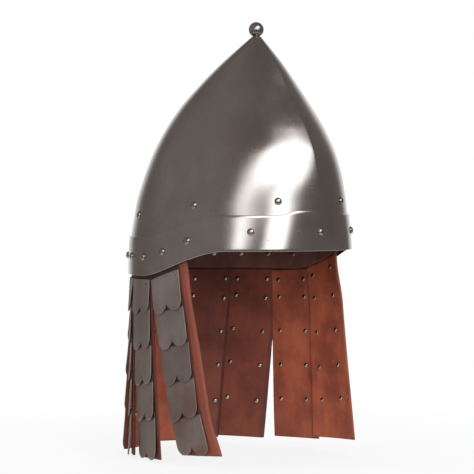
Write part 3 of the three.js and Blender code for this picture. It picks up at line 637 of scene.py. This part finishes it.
# Lace. A round cord of three twisted strands of leather, drawn through the hems of the eight tongues
# and tied to a ring that holds them together.
LACE_RADIUS = 0.00132
LACE_STRANDS, STRAND_BULGE, LACE_TWISTS = 3, 0.13, 36
lace_cord = leather_material("lace_cord", 0.001, linear(80, 56, 40), linear(54, 38, 28), linear(104, 76, 54))
lace_turn = np.linspace(0, 2 * np.pi, 288, endpoint=False)[:, None]
lace_round = np.linspace(0, 2 * np.pi, 20, endpoint=False)
strand = LACE_RADIUS * (1 + STRAND_BULGE * np.cos(LACE_STRANDS * lace_round + LACE_TWISTS * lace_turn))
lace_reach = CROWN_RING + strand * np.cos(lace_round)
lace_grid = np.stack([lace_reach * np.sin(lace_turn), -CROWN_FORWARD - lace_reach * np.cos(lace_turn),
                      CROWN_HEIGHT + strand * np.sin(lace_round)], -1)
lace_piece = finished("lace_ring", grid_mesh("lace", [lace_grid], closed=True), lace_cord, "helmet")
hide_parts("lace")

# Straps of the neck guard. Nine straps of thick red-brown leather hang under the brow band, one at
# the back and four each side. The cheek straps keep a bare margin in front.
# Tables run from the right cheek round the back to the left cheek.
CHEEK = 4  # straps are numbered from -4 at the right cheek over 0 at the back to 4
STRAP_PITCH = 0.046
BACK_TO_LEFT = 0.0055
HALF_STRAP = 0.0222
CHEEK_MARGIN_TOP, CHEEK_MARGIN_HEM = 0.007, 0.011
CHEEK_HEM_RAISE = 0.003
SHELTER_INSET = 0.0005
STRAP_LEATHER = 0.003
HEM_BELOW_RIM = 0.209
HINGE_BELOW_RIM = 0.0012
STRAP_ABOVE_HINGE = 0.0031
EDGE_CLEARANCE = 0.00015
EDGE_MITRE = math.tan(math.radians(12))
EDGE_SKIVE = 0.85
RAGGED_EDGE = 0.00018
CORNER_CUT, CORNER_FROM, CORNER_OVER = 0.009, 0.135, 0.05
CHEEK_SWEEP, SWEEP_FROM, SWEEP_OVER = 0.006, 0.152, 0.042
HEM_LEVELLING = 0.75
strap_leans = np.radians([-13, -8, -6.5, -5.5, -5, -5, -5.3, 1.7, 7.5])
# Share of the widening slit that each strap's edge fills, towards the wearer's right and towards the
# left, and how far it may fill it.
fill_shares = np.array([[0, 0.5]] + [[0.5, 0.5]] * 6 + [[0.5, 0.31], [0.69, 0]])
fill_limits = np.array([[0, 22], [15, 25], *[[25, 25]] * 4, [25, 37], [32, 58], [132, 0]]) / 1e4
# How much is cut off the middle of each hem, so that the hems are nearly level, and how far up the
# scales are set with it.
hem_cuts = np.array([50, 0, 0, 5, 25, 45, 50, 70, 85]) / 1e4
scale_rises = np.array([33, 2, 2, 5, 25, 45, 50, 50, 50]) / 1e4
# The leather of each strap is darkened by its own share: partly a tone of its own, partly painted shade of
# the far straps in shadow, most on left_1 and left_2.
strap_tones_and_shade = np.array([0.25, 0.35, 0.35, 0.3, 0.1, 0.7, 0.6, 0.1, 0.0])


def rim_angle_at(run):
    """Angle of the point on the rim at a run of leather from the middle of the back, by adding up
    short steps of the curve."""
    turn = np.radians(np.arange(0, 140, 0.25))
    curve = skull_point(np.pi - turn, 0, YOKE_MIDDLE)
    length = np.concatenate([[0], np.cumsum(np.linalg.norm(np.diff(curve, axis=0), axis=1))])
    return np.pi - np.sign(run) * np.interp(abs(run), length, turn)


def strap_frame(i):
    """Middle of the hinge line, outward, across to the wearer's left and down the strap."""
    run = STRAP_PITCH * i + BACK_TO_LEFT
    angle = rim_angle_at(run)
    flat = skull_normal(angle, 0)
    out = unit(np.array([flat[0], flat[1], 0]))
    level, upright = np.array([out[1], -out[0], 0]), np.array([0, 0, 1])
    lean = strap_leans[i + CHEEK]
    place = skull_point(angle, rim_height(angle), YOKE_MIDDLE)
    right_rim, left_rim = (rim_height(rim_angle_at(run + s * HALF_STRAP)) for s in (-1, 1))
    place[2] = min(rim_height(angle), (right_rim + left_rim) / 2) - HINGE_BELOW_RIM
    hem = HEM_BELOW_RIM - (CHEEK_HEM_RAISE if abs(i) == CHEEK else 0)
    return {"place": place, "out": out, "across": level * np.cos(lean) + upright * np.sin(lean),
            "down": level * np.sin(lean) - upright * np.cos(lean),
            "tilt": math.atan((left_rim - right_rim) / (2 * HALF_STRAP)) - lean,
            "length": (hem + place[2]) / math.cos(lean)}


def in_strap(f, u, w, n):
    """Points so far across, down and outward from the middle of a strap's hinge line."""
    u, w, n = (np.asarray(distance)[..., None] for distance in (u, w, n))
    return f["place"] + u * f["across"] + w * f["down"] + n * f["out"]


def strap_label(i):
    return "back" if i == 0 else (f"right_{-i}" if i < 0 else f"left_{i}")


def wander(i):
    """How far the leather of one strap stands off its flat plane, in metres, from the distance across
    and down. At the top it follows the round of the rim; further down it has slow bends of its own."""
    chance = np.random.default_rng(40 + i)
    wave, phase = chance.uniform(0.2, 0.5), chance.uniform(0, 6.28)
    cup, curl = chance.uniform(0.5, 1.0), chance.uniform(-0.5, 0.5)
    f, run, probe = frames[i], STRAP_PITCH * i + BACK_TO_LEFT, 0.02
    ends = [skull_point(rim_angle_at(run + s * probe), 0, YOKE_MIDDLE) for s in (-1, 1)]
    round_share = sum((f["place"] - end) @ f["out"] for end in ends) / 2 / probe ** 2
    depth, half_width, wave_length, full_length = 0.001, 0.022, 0.030, 0.18

    def off(u, w):
        beside = u / half_width
        slow = wave * np.sin(w / wave_length + phase) - cup * beside ** 2 + curl * beside * w / full_length
        return depth * eased(w / 0.06) * slow - round_share * u * u * (1 - eased(w / 0.045))
    return off


def sweep(i, w):
    """How far the end of the right cheek strap has set forward, in metres."""
    return (CHEEK_SWEEP if i == -CHEEK else 0) * eased((w - SWEEP_FROM) / SWEEP_OVER)


def side_edges(i, w, n):
    """Distances across of a strap's right and left edges. Neighbours meet half way, and where they
    lean apart each fills a share of the slit up to its limit. The edges are mitred and skived, so
    that the strap nearer the face laps a little inside the one behind it."""
    k = i + CHEEK
    edges = []
    for side, s in enumerate((-1, 1)):
        if abs(i) == CHEEK and s == np.sign(i):
            edge = (HALF_STRAP + CHEEK_MARGIN_TOP + sweep(i, w)
                    + (CHEEK_MARGIN_HEM - CHEEK_MARGIN_TOP) * w / frames[i]["length"])
            skive = 0 * n
        else:
            apart = (strap_leans[k + s] - strap_leans[k]) * s
            room = np.maximum(w, 0) * math.tan(apart) * fill_shares[k, side]
            edge = STRAP_PITCH / 2 - EDGE_CLEARANCE + np.minimum(room, fill_limits[k, side])
            if i == -CHEEK:
                edge = edge - CORNER_CUT * eased((w - CORNER_FROM) / CORNER_OVER)
            lap = 1 if i == 0 else s * np.sign(i)
            skive = n * (EDGE_MITRE * eased(w / 0.05) + EDGE_SKIVE * lap)
        edges.append(s * (edge + skive))
    return edges


def hem_slope(i):
    return HEM_LEVELLING * math.tan(strap_leans[i + CHEEK])


def hem_at(i, u):
    """Length of a strap at a distance across, for a hem cut nearly level."""
    return frames[i]["length"] - hem_cuts[i + CHEEK] + hem_slope(i) * u


def points_of(mesh):
    return np.array([point.co for point in mesh.vertices])


strap_leather = leather_material("strap_leather", 0.0028, linear(196, 106, 76), linear(130, 66, 53),
                                 linear(212, 128, 82))
frames = {i: strap_frame(i) for i in range(-CHEEK, CHEEK + 1)}
strap_rows = np.concatenate([np.linspace(0, 0.07, 10), np.linspace(0.085, 1, 64)])
ragged_at = np.linspace(0, 1, 14)
for i, f in frames.items():
    label, bends = strap_label(i), wander(i)
    ragged = np.random.default_rng(70 + i).uniform(0, RAGGED_EDGE, (2, len(ragged_at)))

    def strap_place(s, v, n):
        """From the tilted top edge behind the brow band to the hem, between hand-cut sides."""
        right, left = side_edges(i, f["length"] * v, n)
        right = right + np.interp(v, ragged_at, ragged[0]) * eased(v * 3)
        left = left - np.interp(v, ragged_at, ragged[1]) * eased(v * 3)
        u = right + (left - right) * (s + 1) / 2
        top = -STRAP_ABOVE_HINGE - u * math.tan(f["tilt"])
        w = top + (hem_at(i, u) - top) * v
        return in_strap(f, u, w, n + bends(u, w))

    mesh = sheet_mesh("strap", strap_place, np.linspace(-1, 1, 25), strap_rows, STRAP_LEATHER,
                      LEATHER_ROUNDING, STRAP_PITCH, f["length"])
    beside = (points_of(mesh) - f["place"]) @ f["across"] * np.sign(i)
    # The outer leather among the plates takes painted shade with some grime; the bare cheek margin does not.
    store(mesh, "sheltered", (beside <= HALF_STRAP - SHELTER_INSET) | (abs(i) < CHEEK))
    store(mesh, "tone", np.full(len(beside), strap_tones_and_shade[i + CHEEK]))
    piece = finished(f"strap_leather_{label}", mesh, strap_leather, None, 60)
    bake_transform(piece)
    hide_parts(f"strap_{label}")

# Turned edges. The front edge of each cheek strap's bare margin is folded over and pressed flat, which
# leaves a thicker strip beside the scales.
FOLD_INSET, FOLD_RAISE, FOLD_LEATHER = 0.0009, 0.0014, 0.0011
FOLD_FROM = 0.0062
FOLD_SHORTER = FOLD_FROM + FOLD_INSET
FOLD_TONE = 0.3
for i in (-CHEEK, CHEEK):
    f, bends = frames[i], wander(i)

    def fold_place(s, v, n):
        """Narrow strip from beside the scales to just short of the cut edge, widening to the hem."""
        inner = HALF_STRAP + FOLD_INSET
        outer = (HALF_STRAP + CHEEK_MARGIN_TOP - FOLD_INSET
                 + (CHEEK_MARGIN_HEM - CHEEK_MARGIN_TOP) * v)
        forward = sweep(i, FOLD_FROM + (f["length"] - FOLD_SHORTER) * v)
        u = np.sign(i) * (inner + (outer - inner) * (s + 1) / 2 + forward)
        w = FOLD_FROM + (hem_at(i, u) - FOLD_SHORTER) * v
        return in_strap(f, u, w, n + bends(u, w) + FOLD_RAISE)

    mesh = sheet_mesh("fold", fold_place, np.linspace(-1, 1, 9), np.linspace(0, 1, 70), FOLD_LEATHER,
                      LEATHER_ROUNDING, CHEEK_MARGIN_TOP, f["length"] - 0.004)
    store(mesh, "tone", np.full(len(mesh.vertices), FOLD_TONE))
    fold = finished(f"turned_edge_{strap_label(i)}", mesh, strap_leather, f"flap_{strap_label(i)}", 60)

# Scales. Each strap carries five rows of darkened steel plate with two round lobes and a cut between
# them. A plate laps over the next row down and is riveted to the leather at its top corners. The
# right side's plates were cut a little wider than the others.
ROWS = 5
ROW_PITCH = 0.036
PLATE_HEIGHT = 0.046
PLATE_SHEET = 0.0011
PLATE_GAP, PLATE_LAP_GAP = 0.00035, 0.0004
PLATE_ROUNDING = 0.00025
HEM_MARGIN, LAST_ROW_OVERHANG = 0.0015, 0.0006
FIRST_PLATE_TOP = 0.0026
LOBE_DEPTH = 0.009
LAST_PLATE_TURN, CHEEK_PLATE_SLIP = 0.16, 0.0011
PLATE_RIVET_ASIDE, PLATE_RIVET_BELOW_TOP = 0.0165, 0.005
SHANK, PEENED_END = 0.0010, 0.0015
INNER_HEAD = 0.0025, 0.00165, 6, 0.0002  # radius, height, steps and foot of the dome
plate_widths = np.array([43.4, 43.4, 42.6, 42.0, 41.4, 40.4, 41.0, 41.6, 41.6]) / 1000
lobe_across = np.array([0, 0.03, 0.07, 0.13, 0.2, 0.3, 0.4, 0.53, 0.66, 0.78, 0.86, 0.92, 0.965, 0.99, 1.0])
lobe_depth = np.array([0, 0.2, 0.38, 0.55, 0.69, 0.84, 0.93, 0.99, 0.98, 0.88, 0.74, 0.56, 0.36, 0.16, 0.0])

# Dull steel, browner and darker towards the hem, each plate of its own tone, darkened below the lap of the
# row above by painted shadow with some soot.
scale_steel, tree, wear, shader = steel_material(
    "scale_steel", relief=0.0003, metallic=0.4, steel=linear(146, 136, 130), cloud=linear(120, 110, 105),
    tint=linear(124, 98, 82), tint_amount=0.5, smoothest=0.42, dullest=0.6)
spot = added(tree, "TexCoord").outputs["Object"]
level = added(tree, "SeparateXYZ", {"Vector": spot}).outputs["Z"]
low_down = ranged(level, -0.19, -0.07, 1.0, 0.15)
rusty = ranged(noise(spot, 34, 7), 0.42, 0.66, 0.1, 0.85)
shaded = mixed(times(rusty, low_down), wear.outputs["color"], linear(118, 78, 64))
shaded = mixed(attribute(tree, "tone"), shaded, linear(94, 84, 80))
shaded = mixed(times(low_down, 0.42), shaded, linear(82, 62, 56))
worn_edge = ranged(attribute(tree, "border"), 0.0, 0.0009, 0.08, 0.0)
shaded = mixed(worn_edge, shaded, linear(180, 170, 164))
# Painted shadow with some soot below the lap of the row above, darkest where the upper plate covers it,
# fading out at that plate's edge.
soot_and_shadow = ranged(attribute(tree, "below_lap"), -0.0034, -0.0005, 0.88, 0.0)
tree.links.new(mixed(soot_and_shadow, shaded, linear(34, 27, 26)), shader.inputs["Base Color"])

plate_columns = np.concatenate([-lobe_across[:0:-1], lobe_across])
plate_rows = np.concatenate([np.linspace(0, 0.72, 7), np.linspace(0.8, 1, 5)])
stand_out = STRAP_LEATHER / 2 + PLATE_GAP
lean = (PLATE_SHEET + PLATE_LAP_GAP) / ROW_PITCH
for i, f in frames.items():
    label, bends, half = strap_label(i), wander(i), plate_widths[i + CHEEK] / 2
    bottoms = (f["length"] - HEM_MARGIN - ROW_PITCH * np.arange(ROWS - 1, -1, -1)
               - scale_rises[i + CHEEK])
    bottoms[-1] = hem_at(i, 0.0) + LAST_ROW_OVERHANG
    tops = np.maximum(bottoms - PLATE_HEIGHT, FIRST_PLATE_TOP)
    rim_slopes = math.tan(f["tilt"]) * (np.arange(ROWS) == 0)
    for row, (top, bottom, rim_slope) in enumerate(zip(tops, bottoms, rim_slopes)):
        chance = np.random.default_rng(1000 + 10 * i + row)
        turn, slip = chance.normal(0, 0.006), chance.normal(0, 0.0002)
        lift, skew = chance.uniform(0.0003, 0.0011), chance.normal(0, 0.04)
        last = row == ROWS - 1
        if i == -CHEEK:
            turn, slip = turn - LAST_PLATE_TURN * last, slip + CHEEK_PLATE_SLIP

        def plate_place(s, v, n):
            """Rectangle above, two lobes and a cut below; it leans out to lap the next row and its lower
            part is bent out a little more."""
            depth = np.interp(np.abs(s), lobe_across, lobe_depth) * (1 + skew * s)
            lower = bottom - LOBE_DEPTH + LOBE_DEPTH * depth + hem_slope(i) * last * s * half
            upper = top - rim_slope * s * half
            w = upper + (lower - upper) * v
            u = s * half + slip + turn * (w - top)
            off = (stand_out + PLATE_SHEET / 2 + lean * (w - (bottom - PLATE_HEIGHT))
                   + lift * np.clip((w - top) / PLATE_HEIGHT, 0, 1) ** 3)
            return in_strap(f, u, w, off + n + bends(u, w))

        mesh = sheet_mesh("plate", plate_place, plate_columns, plate_rows, PLATE_SHEET, PLATE_ROUNDING,
                          2 * half, bottom - top)
        points = points_of(mesh)
        store(mesh, "tone", np.full(len(points), chance.uniform(0.0, 0.55)))
        lap = (points - f["place"]) @ f["down"] - bottoms[row - 1] if row else np.full(len(points), 0.05)
        store(mesh, "below_lap", lap)
        piece = finished(f"scale_plate_{label}_row_{row + 1}", mesh, scale_steel, f"flap_{label}", 50)
        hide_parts(f"scale_{label}_row_{row + 1}")

    # Rivets of the scales: a domed head inside on the leather, a thin shank and a peened end outside.
    # They hold each plate's top corners.
    heads = []
    for top, bottom, rim_slope in zip(tops, bottoms, rim_slopes):
        for u in (-PLATE_RIVET_ASIDE, PLATE_RIVET_ASIDE):
            w = top + PLATE_RIVET_BELOW_TOP - u * rim_slope
            seat = stand_out + lean * (w - (bottom - PLATE_HEIGHT)) + PLATE_SHEET
            profile = [(0, -seat - 0.00025), (SHANK, -seat - 0.0002), (PEENED_END, -seat + 0.0001),
                       (SHANK, -seat + 0.0004), (SHANK, STRAP_LEATHER / 2)]
            profile += [(r, STRAP_LEATHER / 2 + h) for r, h in dome(*INNER_HEAD)]
            heads.append(set_on(turned(profile, 18), in_strap(f, u, w, bends(u, w)), -f["out"]))
    rivets = finished(f"scale_rivets_{label}", grid_mesh("scale_rivets", heads), rivet_steel,
                      f"flap_{label}", 50)

# Floor. A plain pale studio floor under the hems; it fades into the white backdrop and keeps the
# helmet's soft shadow.
FLOOR_LEVEL = -0.2118
FADE_FROM, FADE_TO = 0.22, 0.75
FLOOR_GLOW = 0.84
WHITE = (1.0, 1.0, 1.0, 1.0)
floor_turn = np.linspace(0, 2 * np.pi, 96, endpoint=False)
floor_reach = np.concatenate([[0.0], np.linspace(0.1, 3.0, 30)])[:, None]
floor_grid = np.stack([floor_reach * np.cos(floor_turn), floor_reach * np.sin(floor_turn),
                       FLOOR_LEVEL + 0 * floor_reach * floor_turn], -1)
floor = placed("studio_floor", grid_mesh("floor", [floor_grid]))
floor_white = bpy.data.materials.new("floor_white")
floor_white.use_nodes = True
tree = floor_white.node_tree
tree.nodes.remove(tree.nodes["Principled BSDF"])
matt = added(tree, "BsdfDiffuse", {"Color": (0.86, 0.86, 0.86, 1)}).outputs[0]
glow = added(tree, "Emission", {"Color": WHITE}).outputs[0]
clear = added(tree, "BsdfTransparent").outputs[0]
rays = added(tree, "LightPath").outputs
span = added(tree, "VectorMath", {0: added(tree, "TexCoord").outputs["Object"]}, operation="LENGTH")
far = ranged(span.outputs["Value"], FADE_FROM, FADE_TO)
seen = combined("MAXIMUM", rays["Is Camera Ray"], rays["Is Glossy Ray"])
lit = added(tree, "MixShader", {0: times(seen, FLOOR_GLOW), 1: matt, 2: glow}).outputs[0]
faded = added(tree, "MixShader", {0: far, 1: lit, 2: clear}).outputs[0]
tree.links.new(faded, tree.nodes["Material Output"].inputs["Surface"])
floor.data.materials.append(floor_white)

# Light. The backdrop is white to the camera and in reflections behind the helmet. A large soft window
# in front, with a dark post before its lower part, gives the two streaks beside the ridge. Three soft
# lamps, high at the side, low in front and behind, light the matt scales and the leather.
WINDOW_RADIANCE = 3.0
ROOM_DIFFUSE, ROOM_GLOSSY = 0.36, 0.21
FAR_WALL_GLOSSY = 1.6 * ROOM_GLOSSY
ROOM_TINT = (1.0, 0.85, 0.79, 1.0)
world = bpy.data.worlds.new("studio")
world.use_nodes = True
bpy.context.scene.world = world
tree = world.node_tree
backdrop = tree.nodes["Background"]
rays = added(tree, "LightPath").outputs
around = added(tree, "TexCoord").outputs["Generated"]


def heading(azimuth, elevation):
    a, e = math.radians(azimuth), math.radians(elevation)
    return Vector((math.sin(a) * math.cos(e), -math.cos(a) * math.cos(e), math.sin(e)))


def dot_with(direction):
    """Cosine between the looked-at direction of the room and a fixed one."""
    product = added(tree, "VectorMath", {0: around, 1: tuple(direction)}, operation="DOT_PRODUCT")
    return product.outputs["Value"]


# The window is what lies inside the planes through the middle of the room and two corners next to
# each other, each plane with its own softness.
corners = [heading(*way) for way in ((-69, 1), (-18, 1), (7, 14), (28, 39), (14, 53), (-23, 50))]
window = 1.0
for number, soft in enumerate([0.03, 0.05, 0.08, 0.06, 0.08, 0.07]):
    plane = corners[number].cross(corners[(number + 1) % len(corners)]).normalized()
    if plane.dot(heading(-5, 30)) < 0:
        plane = -plane
    window = times(window, ranged(dot_with(plane), -soft, soft))
# The post fades out upwards.
post_plane = heading(-45, 5).cross(heading(-34, 16)).normalized()
beside_post = ranged(combined("ABSOLUTE", dot_with(post_plane)), 0.05, 0.19)
post_depth = ranged(dot_with((0, 0, 1)), 0.15, 0.36, 0.97, 0.04)
window = times(window, rest_of(times(post_depth, rest_of(beside_post))))
far_wall = ranged(dot_with(heading(-114, 24)), 0.45, 0.95, ROOM_GLOSSY, FAR_WALL_GLOSSY)
behind = ranged(dot_with(toward), 0.8, 0.97)
mirrored = ranged(dot_with(toward), 0.8, 0.97, far_wall, 1.0)
mirror_ray = combined("MAXIMUM", rays["Is Glossy Ray"], rays["Is Transmission Ray"])
room = ranged(mirror_ray, 0.0, 1.0, ROOM_DIFFUSE, mirrored)
lit_room = combined("ADD", room, times(window, WINDOW_RADIANCE))
tree.links.new(ranged(rays["Is Camera Ray"], 0.0, 1.0, lit_room, 1.0), backdrop.inputs["Strength"])
tinted = mixed(combined("MAXIMUM", window, behind), ROOM_TINT, WHITE)
tree.links.new(mixed(mirror_ray, WHITE, tinted), backdrop.inputs["Color"])

# Each lamp's azimuth, elevation, distance, width, height and radiance; its power follows from those.
lamps = {"side_lamp": (-130, 42, 1.6, 0.8, 0.8, 2.4), "low_lamp": (-60, 5, 1.5, 0.6, 0.6, 2.8),
         "back_lamp": (125, 35, 1.7, 1.1, 0.9, 3.0)}
for name, (azimuth, elevation, distance, width, height, radiance) in lamps.items():
    lamp = bpy.data.lights.new(name, "AREA")
    lamp.shape = "RECTANGLE"
    lamp.size, lamp.size_y = width, height
    lamp.energy = radiance * width * height * math.pi
    box = placed(name, lamp)
    way = heading(azimuth, elevation)
    box.location = way * distance + Vector((0, 0, 0.03))
    box.rotation_euler = (-way).to_track_quat("-Z", "Y").to_euler()
    box.visible_glossy = False

bpy.context.scene.view_settings.view_transform = "Standard"
